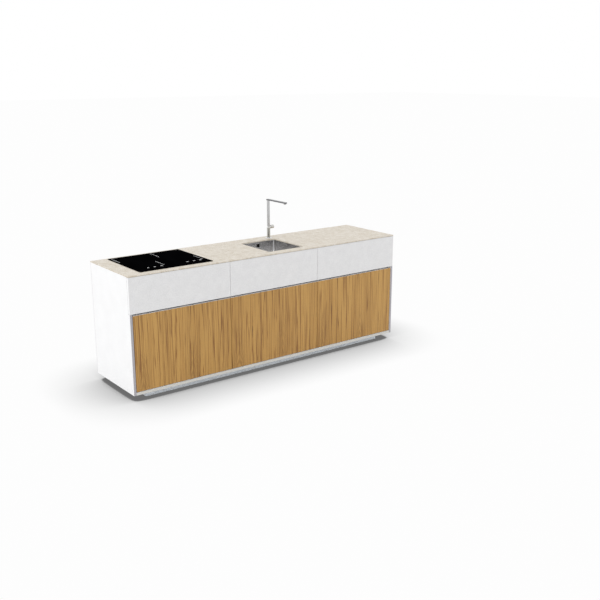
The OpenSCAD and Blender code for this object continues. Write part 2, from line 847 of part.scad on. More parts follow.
// Bottle trap: nut, head with its outlet to the back, and screw-off cup
module bottle_trap() {
  outlet_l = trap_outlet_y - waste_y;
  color([0.88, 0.88, 0.88])
  translate([sink_x, waste_y, 0]) {
    difference() {
      union() {
        translate([0, 0, trap_nut_z]) cylinder(r = trap_nut_r, h = trap_nut_h);
        translate([0, 0, trap_head_z]) cylinder(r = trap_head_r, h = trap_head_h);
        translate([0, 0, trap_outlet_z]) rotate([-90, 0, 0]) cylinder(r = outlet_nut_r, h = outlet_nut_reach);
        translate([0, 0, trap_outlet_z]) rotate([-90, 0, 0]) cylinder(r = pipe_r, h = outlet_l);
      }
      translate([0, 0, trap_nut_z - trap_roof])
        cylinder(r = pipe_r + thread_fit, h = trap_nut_h + trap_roof + past);
      translate([0, 0, trap_head_z - past])
        cylinder(r = trap_head_r - pipe_t, h = trap_head_h - trap_roof + past);
      translate([0, 0, trap_outlet_z]) rotate([-90, 0, 0]) cylinder(r = pipe_r - pipe_t, h = outlet_l + past);
    }
    translate([0, 0, trap_cup_z])
      difference() {
        cylinder(r = trap_r, h = trap_cup_h);
        translate([0, 0, pipe_t]) cylinder(r = trap_r - pipe_t, h = trap_cup_h);
      }
  }
}

module tap_base_ring() {
  bevel = 2;
  inner_r = tap_body_d / 2 + thread_fit;
  outer_r = tap_ring_d / 2;
  color([0.8, 0.8, 0.82])
  translate([tap_x, tap_y, overall_h])
    rotate_extrude() polygon([
      [inner_r, 0], [outer_r, 0], [outer_r, tap_ring_h - bevel],
      [outer_r - bevel, tap_ring_h], [inner_r, tap_ring_h]
    ]);
}

// Lower body with its shank below, its side boss and spindle, and the bore for the column
module tap_body() {
  chamfer = 2;
  boss_step = 2;
  boss_r = knob_d / 2 - boss_step;
  spindle_x = column_d / 2 + rest_gap;
  spindle_end = knob_x + knob_l - knob_end_wall - rest_gap;
  bore_l = spigot_l + spigot_end_gap;
  color([0.6, 0.6, 0.61])
  translate([tap_x, tap_y, 0])
  difference() {
    union() {
      translate([0, 0, shank_z]) cylinder(r = shank_r, h = shank_l);
      translate([0, 0, overall_h]) cylinder(r = tap_body_d / 2, h = tap_body_h - chamfer);
      translate([0, 0, tap_body_top_z - chamfer])
        cylinder(r1 = tap_body_d / 2, r2 = tap_body_d / 2 - chamfer, h = chamfer);
      translate([spindle_x, 0, knob_z]) rotate([0, 90, 0])
        cylinder(r = spindle_r, h = spindle_end - spindle_x);
      intersection() {
        translate([0, 0, knob_z]) rotate([0, 90, 0]) cylinder(r = boss_r, h = knob_x);
        translate([0, 0, overall_h]) cylinder(r = knob_x * 2, h = tap_body_h);
      }
    }
    translate([0, 0, column_z - bore_l]) cylinder(r = spigot_r + tap_fit, h = bore_l + past);
  }
}

// Turning column with the flat spout on top
module tap_spout() {
  color([0.75, 0.75, 0.77])
  translate([tap_x, tap_y, 0]) {
    translate([0, 0, column_z - spigot_l]) cylinder(r = spigot_r, h = spigot_l + past);
    translate([0, 0, column_z]) cylinder(r = column_d / 2, h = spout_z - column_z + past);
    block([-column_d / 2, -spout_reach, spout_z], [column_d / 2, column_d / 2, spout_z + spout_t]);
  }
}

module tap_aerator() {
  tip = 13;
  wall = 2;
  color([0.3, 0.3, 0.3])
  translate([tap_x, tap_y - spout_reach + tip, spout_z - aerator_h])
  difference() {
    cylinder(r = aerator_d / 2, h = aerator_h);
    translate([0, 0, -past]) cylinder(r = aerator_d / 2 - wall, h = aerator_h / 2 + past);
  }
}

// Side knob with an index groove, on the body's spindle
module tap_knob() {
  bore_l = knob_l - knob_end_wall;
  groove = 1.2;
  color([0.8, 0.8, 0.81])
  translate([tap_x + knob_x + rest_gap, tap_y, knob_z]) rotate([0, 90, 0])
  difference() {
    cylinder(r = knob_d / 2, h = knob_l);
    translate([0, 0, -past]) cylinder(r = spindle_r + tap_fit, h = bore_l + past);
    translate([-knob_d / 2 - past, -groove / 2, knob_l / 2]) cube([groove + past, groove, knob_l]);
  }
}

// Nut and washer that clamp the tap under the worktop
module tap_shank_nut() {
  washer_r = 24;
  washer_h = 2;
  nut_r = 21;
  nut_h = 8;
  bore_r = shank_r + thread_fit;
  color([0.75, 0.65, 0.35])
  for (part = [[washer_r, under_z - washer_h, washer_h], [nut_r, under_z - washer_h - nut_h, nut_h]])
    translate([tap_x, tap_y, part[1]])
      difference() {
        cylinder(r = part[0], h = part[2]);
        translate([0, 0, -past]) cylinder(r = bore_r, h = part[2] + 2 * past);
      }
}

// Two plain copper tails for the hot and cold supply
module tap_inlet_tails() {
  wall = 1;
  color([0.72, 0.45, 0.3])
  for (x = [-1, 1] * tail_dx)
    translate([tap_x + x, tap_y, shank_z - tail_l])
      difference() {
        cylinder(r = tail_r, h = tail_l);
        translate([0, 0, -past]) cylinder(r = tail_r - wall, h = tail_l + 2 * past);
      }
}

// Edges of the upper front of module m, which laps over the end panels
function upper_x(m) = [
  m == LEFT ? -half_w : module_x[m] - module_w / 2 + front_gap / 2,
  m == RIGHT ? half_w : module_x[m] + module_w / 2 - front_gap / 2
];

// Edges of the lower front of module m, which lies between the end panels
function lower_x(m) = [
  m == LEFT ? -half_w + board_t + edge_gap : module_x[m] - module_w / 2 + front_gap / 2,
  m == RIGHT ? half_w - board_t - edge_gap : module_x[m] + module_w / 2 - front_gap / 2
];

module upper_front(m) {
  x = upper_x(m);
  color([0.86, 0.86, 0.87])
    block([x[0], front_y, upper_z], [x[1], front_back_y, upper_top_z]);
}

module lower_front(m) {
  x = lower_x(m);
  color([0.7, 0.53, 0.31])
    block([x[0], front_y, lower_z], [x[1], front_back_y, lower_top_z]);
}

// Fixed front below the sink, which stands on the boards' front edges
module sink_apron() {
  x = upper_x(MIDDLE);
  color([0.86, 0.86, 0.87])
    block([x[0], front_y, upper_z], [x[1], carcase_y, upper_top_z]);
}

// Drawer box of module m: sides with their rails, base and back
module drawer_box(m, z, h) {
  x = -clear_w / 2 + slide_w;
  inner_x = x + box_side_t + board_joint;
  color([0.35, 0.35, 0.36])
  both_sides(m) {
    block([x, front_back_y, z], [x + box_side_t, box_back_y, z + h]);
    translate([x - board_joint, slide_y, z + slide_rise]) mirror([1, 0, 0])
      channel(slide_l, inner_rail_h, slide_w - inner_rail_x - board_joint, slide_t);
  }
  color([0.4, 0.4, 0.41])
  translate([module_x[m], 0, 0]) {
    block([inner_x, front_back_y, z], [-inner_x, box_back_y - box_panel_t - board_joint, z + box_panel_t]);
    block([inner_x, box_back_y - box_panel_t, z], [-inner_x, box_back_y, z + h]);
  }
}

// Middle channels of the two slides of a drawer
module middle_rails(m, z) {
  color([0.7, 0.7, 0.72])
  both_sides(m)
    translate([-clear_w / 2 + middle_rail_x, slide_y, z + slide_rise])
      channel(middle_rail_l, middle_rail_h, slide_w - middle_rail_x - slide_t - slide_gap, slide_t);
}

// Outer channels of all slides, on the walls of the modules
module cabinet_rails() {
  places = [
    [LEFT, upper_box_z], [RIGHT, upper_box_z],
    [LEFT, lower_box_z], [MIDDLE, lower_box_z], [RIGHT, lower_box_z]
  ];
  color([0.7, 0.7, 0.72])
  for (p = places) both_sides(p[0])
    translate([-clear_w / 2, slide_y, p[1] + slide_rise])
      channel(slide_l, slide_h, slide_w - 2 * slide_t - slide_gap, slide_t);
}

// Pan-head screws through the back panels into the boards
module back_screws() {
  color([0.78, 0.78, 0.8])
  for (x = module_x, s = [-1, 1], z = screw_heights())
    translate([x + s * (module_w / 2 - board_t / 2), panel_y - screw_l, z]) rotate([-90, 0, 0]) {
      cylinder(r = screw_r, h = screw_l + back_t + past);
      translate([0, 0, screw_l + back_t]) cylinder(r = screw_head_r, h = screw_head_h);
    }
}

worktop();
side_panel(-1);  // left_side_panel
side_panel(1);  // right_side_panel
inner_side_boards();
base_board();
back_panel(LEFT);  // left_back_panel
back_panel(MIDDLE);  // middle_back_panel
back_panel(RIGHT);  // right_back_panel
top_rails();
grip_channels();
long_plinth(-1);  // front_plinth
long_plinth(1);  // back_plinth
end_plinths();
foot_sockets();
foot(-1, 0);  // front_foot_1
foot(-1, 1);  // front_foot_2
foot(-1, 2);  // front_foot_3
foot(-1, 3);  // front_foot_4
foot(1, 0);  // back_foot_1
foot(1, 1);  // back_foot_2
foot(1, 2);  // back_foot_3
foot(1, 3);  // back_foot_4
hob_glass();
hob_casing();
hob_coils();
hob_control_board();
hob_fan();
hob_clamps();
sink_bowl();
sink_clips();
overflow_frame();
overflow_pipe();
waste_body();
strainer_basket();
bottle_trap();
tap_base_ring();
tap_body();
tap_spout();
tap_aerator();
tap_knob();
tap_shank_nut();
tap_inlet_tails();
sink_apron();
cabinet_rails();
upper_front(LEFT);  // upper_left_front
drawer_box(LEFT, upper_box_z, upper_box_h);  // upper_left_box
middle_rails(LEFT, upper_box_z);  // upper_left_middle_rails
upper_front(RIGHT);  // upper_right_front
drawer_box(RIGHT, upper_box_z, upper_box_h);  // upper_right_box
middle_rails(RIGHT, upper_box_z);  // upper_right_middle_rails
lower_front(LEFT);  // lower_left_front
drawer_box(LEFT, lower_box_z, lower_box_h);  // lower_left_box
middle_rails(LEFT, lower_box_z);  // lower_left_middle_rails
lower_front(MIDDLE);  // lower_middle_front
drawer_box(MIDDLE, lower_box_z, lower_box_h);  // lower_middle_box
middle_rails(MIDDLE, lower_box_z);  // lower_middle_middle_rails
lower_front(RIGHT);  // lower_right_front
drawer_box(RIGHT, lower_box_z, lower_box_h);  // lower_right_box
middle_rails(RIGHT, lower_box_z);  // lower_right_middle_rails
back_screws();
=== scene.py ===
"""The looks of the outdoor kitchen: finishes, pressed sink bowl, printed hob, screws and studio."""

import math
from collections import namedtuple

import bmesh
import bpy
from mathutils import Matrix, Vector


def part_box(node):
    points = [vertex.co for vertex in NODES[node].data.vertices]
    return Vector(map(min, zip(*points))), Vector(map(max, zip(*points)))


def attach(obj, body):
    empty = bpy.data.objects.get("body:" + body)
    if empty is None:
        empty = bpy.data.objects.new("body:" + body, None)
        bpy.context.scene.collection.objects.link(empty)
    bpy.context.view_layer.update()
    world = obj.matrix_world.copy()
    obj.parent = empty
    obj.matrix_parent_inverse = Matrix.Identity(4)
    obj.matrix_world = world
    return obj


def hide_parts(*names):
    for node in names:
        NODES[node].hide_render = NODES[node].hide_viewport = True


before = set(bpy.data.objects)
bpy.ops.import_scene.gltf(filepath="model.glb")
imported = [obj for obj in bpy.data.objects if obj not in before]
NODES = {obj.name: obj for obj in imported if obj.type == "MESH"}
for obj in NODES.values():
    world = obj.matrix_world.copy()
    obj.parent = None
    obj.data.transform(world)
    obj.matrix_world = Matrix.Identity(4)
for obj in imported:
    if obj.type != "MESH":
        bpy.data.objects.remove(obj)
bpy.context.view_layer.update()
MM = 0.001

# Camera, as the photograph was taken
CAMERA_PLACE = Vector((-3.593, -5.301, 2.225))
CAMERA_AZIMUTH = math.radians(-37.407)
CAMERA_ELEVATION = math.radians(15.320)
CAMERA_LENS = 50.38
CAMERA_FAR = 200

# Colours as they render in white light
BEIGE = (0.680, 0.620, 0.522)
WHITE = (0.900, 0.900, 0.905)
EDGE_GREY = (0.400, 0.390, 0.420)
FRONT_GREY = (0.760, 0.760, 0.765)
TEAK_PALE = (0.535, 0.303, 0.083)
TEAK_MID = (0.485, 0.267, 0.070)
TEAK_DARK = (0.200, 0.092, 0.022)
BASE_EDGE = (0.650, 0.650, 0.620)
GRIP_EDGE = (0.880, 0.880, 0.890)
PLINTH_GREY = (0.660, 0.700, 0.740)


# Materials

Links = namedtuple("Links", "material tree shader")


def new_material(name, color, roughness, metallic=0.0):
    """A material with one Principled shader, whose even values sit on the shader's own sockets."""
    material = bpy.data.materials.new(name)
    material.use_nodes = True
    tree = material.node_tree
    shader = tree.nodes["Principled BSDF"]
    shader.inputs["Base Color"].default_value = (*color, 1)
    shader.inputs["Roughness"].default_value = roughness
    shader.inputs["Metallic"].default_value = metallic
    material.diffuse_color = (*color, 1)
    return Links(material, tree, shader)


def place_on_object(tree, scale=(1, 1, 1), location=(0, 0, 0)):
    """Object coordinates in metres, moved and stretched."""
    coordinates = tree.nodes.new("ShaderNodeTexCoord")
    mapping = tree.nodes.new("ShaderNodeMapping")
    mapping.inputs["Location"].default_value = location
    mapping.inputs["Scale"].default_value = scale
    tree.links.new(coordinates.outputs["Object"], mapping.inputs["Vector"])
    return mapping.outputs["Vector"]


def noise_on(tree, vector, scale, detail=3.0, roughness=0.5, distortion=0.0):
    """Noise on a vector, from nought to one."""
    node = tree.nodes.new("ShaderNodeTexNoise")
    node.inputs["Scale"].default_value = scale
    node.inputs["Detail"].default_value = detail
    node.inputs["Roughness"].default_value = roughness
    node.inputs["Distortion"].default_value = distortion
    tree.links.new(vector, node.inputs["Vector"])
    return node.outputs["Fac"]


def math_on(tree, operation, *values):
    """One Math node; each value is a number or a socket."""
    node = tree.nodes.new("ShaderNodeMath")
    node.operation = operation
    for socket, value in zip(node.inputs, values):
        if isinstance(value, (int, float)):
            socket.default_value = value
        else:
            tree.links.new(value, socket)
    return node.outputs["Value"]


def ramp_on(tree, factor, *stops):
    """A colour ramp; each stop is (position, colour or grey)."""
    node = tree.nodes.new("ShaderNodeValToRGB")
    elements = node.color_ramp.elements
    while len(elements) < len(stops):
        elements.new(0.5)
    for element, (position, color) in zip(elements, stops):
        element.position = position
        element.color = (color, color, color, 1) if isinstance(color, (int, float)) else (*color, 1)
    tree.links.new(factor, node.inputs["Fac"])
    return node.outputs["Color"]


def mix_colors(tree, blend, factor, a, b):
    """One colour Mix node; each value is a number, a colour or a socket."""
    node = tree.nodes.new("ShaderNodeMix")
    node.data_type = "RGBA"
    node.blend_type = blend
    sockets = [s for s in node.inputs if s.enabled]
    for socket, value in zip(sockets, (factor, a, b)):
        if isinstance(value, (int, float)):
            socket.default_value = value
        elif isinstance(value, tuple):
            socket.default_value = (*value, 1)
        else:
            tree.links.new(value, socket)
    return [s for s in node.outputs if s.enabled][0]


def bump_from(links, height, distance):
    """A surface that rises by distance where height goes from nought to one."""
    node = links.tree.nodes.new("ShaderNodeBump")
    node.inputs["Strength"].default_value = 1.0
    node.inputs["Distance"].default_value = distance
    links.tree.links.new(height, node.inputs["Height"])
    links.tree.links.new(node.outputs["Normal"], links.shader.inputs["Normal"])


def color_from(links, color):
    """The colour from a socket."""
    links.tree.links.new(color, links.shader.inputs["Base Color"])


def roughness_from(links, factor, low, high):
    """Roughness that runs from low to high with factor."""
    node = links.tree.nodes.new("ShaderNodeMapRange")
    node.inputs["To Min"].default_value = low
    node.inputs["To Max"].default_value = high
    links.tree.links.new(factor, node.inputs["Value"])
    links.tree.links.new(node.outputs["Result"], links.shader.inputs["Roughness"])


def vector_parts(tree, vector):
    """The X, Y and Z outputs of a vector."""
    parts = tree.nodes.new("ShaderNodeSeparateXYZ")
    tree.links.new(vector, parts.inputs["Vector"])
    return parts.outputs


def normal_parts(tree):
    """The X, Y and Z of the way that the surface faces."""
    coordinates = tree.nodes.new("ShaderNodeTexCoord")
    return vector_parts(tree, coordinates.outputs["Normal"])


FACING_SHARE = 0.7


def facing(tree, axis):
    """One on surfaces that face along an axis, either way, and zero elsewhere."""
    along = math_on(tree, "ABSOLUTE", normal_parts(tree)[axis])
    return math_on(tree, "GREATER_THAN", along, FACING_SHARE)


def worktop_laminate():
    """Beige with soft clouds and fine light and dark grains."""
    links = new_material("worktop_laminate", BEIGE, 0.42)
    tree = links.tree
    vector = place_on_object(tree)
    clouds = noise_on(tree, vector, scale=26, detail=4, roughness=0.65)
    grains = noise_on(tree, vector, scale=150, detail=3, roughness=0.7)
    specks = noise_on(tree, vector, scale=620, detail=2, roughness=0.6)
    cloud_tone = ramp_on(tree, clouds, (0.34, (0.602, 0.532, 0.426)), (0.66, (0.745, 0.690, 0.606)))
    grain_tone = ramp_on(tree, grains, (0.36, 0.22), (0.64, 0.78))
    speck_tone = ramp_on(tree, specks, (0.30, 0.55), (0.40, 1.0))
    with_grains = mix_colors(tree, "OVERLAY", 0.62, cloud_tone, grain_tone)
    color_from(links, mix_colors(tree, "MULTIPLY", 0.5, with_grains, speck_tone))
    roughness_from(links, grains, 0.36, 0.50)
    bump_from(links, specks, 0.06 * MM)
    return links.material


def grey_front():
    """Light grey laminate with a faint mottle; both ends are painted near-white, a painted highlight
    where the light from the left falls.
    """
    links = new_material("grey_front", FRONT_GREY, 0.5)
    tree = links.tree
    vector = place_on_object(tree)
    clouds = noise_on(tree, vector, scale=22, detail=4, roughness=0.6)
    grains = noise_on(tree, vector, scale=130, detail=3, roughness=0.65)
    cloud_tone = ramp_on(tree, clouds, (0.3, (0.735, 0.735, 0.742)), (0.7, (0.785, 0.785, 0.790)))
    grain_tone = ramp_on(tree, grains, (0.38, 0.20), (0.62, 0.78))
    tone = mix_colors(tree, "OVERLAY", 0.26, cloud_tone, grain_tone)
    # Faces along X take the white board's colour: a painted highlight, not a colour of the laminate.
    color_from(links, mix_colors(tree, "MIX", facing(tree, "X"), tone, WHITE))
    roughness_from(links, grains, 0.44, 0.58)
    bump_from(links, grains, 0.05 * MM)
    return links.material


def plain_board(name, color, roughness, peel_depth=0.02 * MM, edge_color=None):
    """A matt board with a fine orange-peel surface and a trace of uneven tone.

    With edge_color, the narrow faces at front and back are in that colour.
    """
    links = new_material(name, color, roughness)
    tree = links.tree
    vector = place_on_object(tree)
    clouds = noise_on(tree, vector, scale=9, detail=3)
    peel = noise_on(tree, vector, scale=520, detail=2)
    low = tuple(0.975 * c for c in color)
    tone = ramp_on(tree, clouds, (0.35, low), (0.65, color))
    if edge_color:
        tone = mix_colors(tree, "MIX", facing(tree, "Y"), tone, edge_color)
    color_from(links, tone)
    roughness_from(links, peel, roughness - 0.05, roughness + 0.05)
    bump_from(links, peel, peel_depth)
    return links.material


# Width of a veneer sheet, the first sheet's left edge, and the pattern's step up from sheet to sheet
VENEER_WIDTH = 0.400
VENEER_START = -1.340
VENEER_SHIFT = 0.35

# Flame figure: its wander, the squared radius of its tip, its rise, ring density and middle strip
ARCH_WANDER = 0.05
ARCH_TIP = 0.0004
ARCH_RISE = 0.16
ARCH_RINGS = 520
ARCH_STRIP = ((0.035, 1), (0.075, 0))
ARCH_HEIGHT = ((0.10, 1), (0.42, 0.0))


def veneer_parts(tree):
    """Object coordinates with X counted from the first sheet's left edge."""
    return vector_parts(tree, place_on_object(tree, location=(-VENEER_START, 0, 0)))


def veneer_place(tree, stretch):
    """Object coordinates folded at each sheet's edge, so that neighbours mirror each other.

    A small stretch draws a pattern out along the grain.
    """
    parts = veneer_parts(tree)
    folded = math_on(tree, "PINGPONG", parts["X"], VENEER_WIDTH)
    sheet = math_on(tree, "FLOOR", math_on(tree, "DIVIDE", parts["X"], VENEER_WIDTH))
    height = math_on(tree, "MULTIPLY_ADD", sheet, VENEER_SHIFT, parts["Z"])
    joined = tree.nodes.new("ShaderNodeCombineXYZ")
    tree.links.new(folded, joined.inputs["X"])
    tree.links.new(parts["Y"], joined.inputs["Y"])
    tree.links.new(math_on(tree, "MULTIPLY", height, stretch), joined.inputs["Z"])
    return joined.outputs["Vector"]


def veneer_noise(tree, stretch, scale, detail, roughness=0.5, distortion=0.0):
    """Noise that follows the veneer's sheets."""
    return noise_on(tree, veneer_place(tree, stretch), scale, detail, roughness, distortion)


def veneer_arches(tree):
    """Flame figure low down in the middle of each sheet, from nought to one."""
    parts = veneer_parts(tree)
    folded = math_on(tree, "PINGPONG", parts["X"], VENEER_WIDTH)
    local = math_on(tree, "SUBTRACT", folded, 0.5 * VENEER_WIDTH)
    wander = math_on(tree, "SUBTRACT", veneer_noise(tree, stretch=0.6, scale=12, detail=2), 0.5)
    bent = math_on(tree, "ADD", local, math_on(tree, "MULTIPLY", wander, ARCH_WANDER))
    ring = math_on(tree, "SQRT", math_on(tree, "MULTIPLY_ADD", bent, bent, ARCH_TIP))
    ring = math_on(tree, "ADD", ring, math_on(tree, "MULTIPLY", parts["Z"], ARCH_RISE))
    wave = math_on(tree, "SINE", math_on(tree, "MULTIPLY", ring, ARCH_RINGS))
    rings = math_on(tree, "MULTIPLY_ADD", wave, 0.5, 0.5)
    near_middle = ramp_on(tree, math_on(tree, "ABSOLUTE", local), *ARCH_STRIP)
    low_down = ramp_on(tree, parts["Z"], *ARCH_HEIGHT)
    return math_on(tree, "MULTIPLY", rings, math_on(tree, "MULTIPLY", near_middle, low_down))


def brown(level):
    """A multiplier that darkens towards a warm brown."""
    return (level ** 0.72, level, level ** 1.30)


# What each of the teak's noises makes of the tone, as stops of a ramp
TEAK_STREAKS = (
    (0.32, brown(0.50)), (0.36, 0.98), (0.425, 0.98), (0.448, brown(0.26)), (0.470, 1.0),
    (0.57, 1.0), (0.592, brown(0.34)), (0.612, 1.0), (0.70, brown(0.80)),
)
TEAK_LINES = ((0.37, brown(0.30)), (0.41, 0.98), (0.50, 1.0), (0.60, 1.0), (0.66, brown(0.75)))
TEAK_FIBRES = ((0.35, 0.18), (0.65, 0.78))
TEAK_FLECKS = ((0.235, 0.12), (0.285, 1.0))
TEAK_PORES = ((0.28, 0.40), (0.38, 1.0))


def teak_front():
    """Upright teak veneer: brown streaks in groups, fine fibres, black flecks, pale top and foot."""
    links = new_material("teak_front", TEAK_PALE, 0.5)
    tree = links.tree
    broad = veneer_noise(tree, stretch=0.10, scale=11, detail=2)
    streaks = veneer_noise(tree, stretch=0.018, scale=30, detail=3, roughness=0.55, distortion=0.08)
    lines = veneer_noise(tree, stretch=0.008, scale=70, detail=3, roughness=0.60, distortion=0.06)
    fibres = veneer_noise(tree, stretch=0.012, scale=380, detail=3, roughness=0.6)
    pores = veneer_noise(tree, stretch=0.035, scale=760, detail=1)
    flecks = veneer_noise(tree, stretch=0.075, scale=70, detail=2)
    arches = math_on(tree, "MULTIPLY", veneer_arches(tree), 0.40)
    tone = ramp_on(tree, broad, (0.38, TEAK_MID), (0.60, TEAK_PALE))
    tone = mix_colors(tree, "MULTIPLY", 0.9, tone, ramp_on(tree, streaks, *TEAK_STREAKS))
    tone = mix_colors(tree, "MULTIPLY", 0.85, tone, ramp_on(tree, lines, *TEAK_LINES))
    tone = mix_colors(tree, "MIX", arches, tone, TEAK_DARK)
    tone = mix_colors(tree, "OVERLAY", 0.16, tone, ramp_on(tree, fibres, *TEAK_FIBRES))
    tone = mix_colors(tree, "MULTIPLY", 0.8, tone, ramp_on(tree, flecks, *TEAK_FLECKS))
    tone = mix_colors(tree, "MULTIPLY", 0.35, tone, ramp_on(tree, pores, *TEAK_PORES))
    color_from(links, mix_colors(tree, "MIX", facing(tree, "Z"), tone, GRIP_EDGE))
    roughness_from(links, fibres, 0.42, 0.62)
    bump_from(links, math_on(tree, "ADD", fibres, pores), 0.10 * MM)
    return links.material


BRUSH_DEPTH = 0.012 * MM


def brush_lines(tree, stretch):
    """Fine lines that run along the axis with the small stretch factor."""
    return noise_on(tree, place_on_object(tree, scale=stretch), scale=900, detail=3, roughness=0.6)


def brushed(name, color, roughness, stretch):
    """Brushed metal."""
    links = new_material(name, color, roughness, metallic=1.0)
    lines = brush_lines(links.tree, stretch)
    roughness_from(links, lines, roughness - 0.04, roughness + 0.06)
    bump_from(links, lines, BRUSH_DEPTH)
    return links.material


def tap_steel(name, low_color, high_color, change_z):
    """Steel brushed upright; above a height the steel takes another tone, which paints light or shade
    on it.
    """
    links = new_material(name, low_color, 0.24, metallic=1.0)
    tree = links.tree
    # Above change_z the colour is painted: a painted highlight on the lower body's top band, painted
    # shade on the spout's arm.
    high = math_on(tree, "GREATER_THAN", vector_parts(tree, place_on_object(tree))["Z"], change_z)
    color_from(links, mix_colors(tree, "MIX", high, low_color, high_color))
    lines = brush_lines(tree, (1, 1, 0.04))
    roughness_from(links, lines, 0.20, 0.30)
    bump_from(links, lines, BRUSH_DEPTH)
    return links.material


# Bowl tones: the end walls darker as painted shade, the rounded corners lighter as a painted
# highlight, the floor near-white as painted light.
BOWL_LONG_WALL = (0.94, 0.94, 0.95)
BOWL_END_WALL_PAINTED_SHADE = (0.645, 0.635, 0.625)
BOWL_CORNER_PAINTED_HIGHLIGHT = (0.97, 0.97, 0.98)
BOWL_FLOOR_PAINTED_LIGHT = (0.96, 0.96, 0.96)


def pressed_steel():
    """Stainless sheet: end walls painted darker than the front and back walls as painted shade,
    rounded corners painted lighter as a painted highlight, and a matt near-white floor as painted
    light that the walls reflect.
    """
    links = new_material("pressed_steel", (0.66, 0.66, 0.67), 0.20, metallic=1.0)
    tree = links.tree
    parts = normal_parts(tree)
    level = ramp_on(tree, math_on(tree, "ABSOLUTE", parts["Z"]), (0.5, 0), (0.95, 1))
    painted_end_wall_shade = ramp_on(tree, math_on(tree, "ABSOLUTE", parts["X"]), (0.80, 0), (0.97, 1))
    turn = math_on(tree, "ABSOLUTE", math_on(tree, "MULTIPLY", parts["X"], parts["Y"]))
    corner = ramp_on(tree, turn, (0.15, 0), (0.45, 1))
    # The end walls' darker tone is painted shade and the corners' lighter tone a painted highlight.
    walls = mix_colors(tree, "MIX", painted_end_wall_shade, BOWL_LONG_WALL, BOWL_END_WALL_PAINTED_SHADE)
    walls = mix_colors(tree, "MIX", corner, walls, BOWL_CORNER_PAINTED_HIGHLIGHT)
    color_from(links, mix_colors(tree, "MIX", level, walls, BOWL_FLOOR_PAINTED_LIGHT))
    grain = noise_on(tree, place_on_object(tree), scale=700, detail=3, roughness=0.6)
    wall_roughness = math_on(tree, "MULTIPLY_ADD", grain, 0.08, 0.13)
    roughness = math_on(tree, "MULTIPLY_ADD", level, 0.45, wall_roughness)
    tree.links.new(roughness, links.shader.inputs["Roughness"])
    metallic = math_on(tree, "MULTIPLY_ADD", level, -0.9, 1.0)
    tree.links.new(metallic, links.shader.inputs["Metallic"])
    return links.material


def moulded(name, color, roughness):
    """Moulded plastic with a fine spark-eroded grain."""
    links = new_material(name, color, roughness)
    grain = noise_on(links.tree, place_on_object(links.tree), scale=1400, detail=2)
    roughness_from(links, grain, roughness - 0.05, roughness + 0.08)
    bump_from(links, grain, 0.03 * MM)
    return links.material


def black_glass():
    """Matt black glass ceramic with a trace of wipe marks."""
    links = new_material("black_glass", (0.0015, 0.0015, 0.0018), 0.5)
    links.shader.inputs["Specular IOR Level"].default_value = 0.0
    tree = links.tree
    wipes = noise_on(tree, place_on_object(tree, scale=(1, 0.4, 1)), scale=9, detail=3, roughness=0.55)
    tone = ramp_on(tree, wipes, (0.3, (0.0010, 0.0010, 0.0012)), (0.7, (0.0020, 0.0020, 0.0024)))
    color_from(links, tone)
    return links.material


def copper(name):
    """Copper with a slightly dull, uneven skin."""
    links = new_material(name, (0.62, 0.27, 0.13), 0.3, metallic=1.0)
    tree = links.tree
    skin = noise_on(tree, place_on_object(tree), scale=60, detail=4, roughness=0.6)
    tone = ramp_on(tree, skin, (0.35, (0.46, 0.19, 0.09)), (0.65, (0.66, 0.30, 0.15)))
    color_from(links, tone)
    roughness_from(links, skin, 0.24, 0.42)
    return links.material


def circuit_green():
    """Solder mask with pale tracks in a regular maze."""
    links = new_material("circuit_green", (0.02, 0.13, 0.06), 0.35)
    tree = links.tree
    tracks = tree.nodes.new("ShaderNodeTexBrick")
    tracks.inputs["Scale"].default_value = 60
    tracks.inputs["Color1"].default_value = (0.015, 0.110, 0.050, 1)
    tracks.inputs["Color2"].default_value = (0.020, 0.140, 0.065, 1)
    tracks.inputs["Mortar"].default_value = (0.100, 0.300, 0.130, 1)
    tracks.inputs["Mortar Size"].default_value = 0.03
    tree.links.new(place_on_object(tree), tracks.inputs["Vector"])
    color_from(links, tracks.outputs["Color"])
    return links.material


def set_finish(material, *nodes):
    """The material on CAD nodes, in their own slots."""
    for name in nodes:
        for slot in NODES[name].material_slots:
            slot.material = material


def nodes_ending(end):
    """Names of the CAD nodes with an ending."""
    return [name for name in sorted(NODES) if name.endswith(end)]


# Edges

WELD_REACH = 0.005 * MM
FLAT_ANGLE = math.radians(0.5)
SHARP_ANGLE = math.radians(40)


def ease_edges(width, segments, *nodes):
    """Rounds the sharp edges of CAD nodes and evens their shading."""
    for name in nodes:
        node = NODES[name]
        weld = node.modifiers.new("weld", "WELD")
        weld.merge_threshold = WELD_REACH
        flat = node.modifiers.new("whole faces", "DECIMATE")
        flat.decimate_type = "DISSOLVE"
        flat.angle_limit = FLAT_ANGLE
        bevel = node.modifiers.new("eased edges", "BEVEL")
        bevel.width = width
        bevel.segments = segments
        bevel.limit_method = "ANGLE"
        bevel.angle_limit = SHARP_ANGLE
        bevel.use_clamp_overlap = True
        even = node.modifiers.new("even shading", "WEIGHTED_NORMAL")
        even.keep_sharp = True


# Meshes

def mesh_object(name, mesh, material, body):
    """A finished mesh as a piece that rides on a body."""
    mesh.materials.clear()
    mesh.materials.append(material)
    piece = bpy.data.objects.new(name, mesh)
    bpy.context.scene.collection.objects.link(piece)
    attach(piece, body)
    return piece


def ring_loft(rings, close_end=False):
    """A mesh through rings of equally many points, each ring a list of vectors."""
    work = bmesh.new()
    rows = [[work.verts.new(p) for p in ring] for ring in rings]
    count = len(rings[0])
    for a, b in zip(rows, rows[1:]):
        for i in range(count):
            j = (i + 1) % count
            work.faces.new((a[i], a[j], b[j], b[i]))
    if close_end:
        work.faces.new(rows[-1])
    mesh = bpy.data.meshes.new("loft")
    work.to_mesh(mesh)
    work.free()
    return mesh


# Steps round a corner and along a side
CORNER_STEPS = 8
SIDE_STEPS = 6


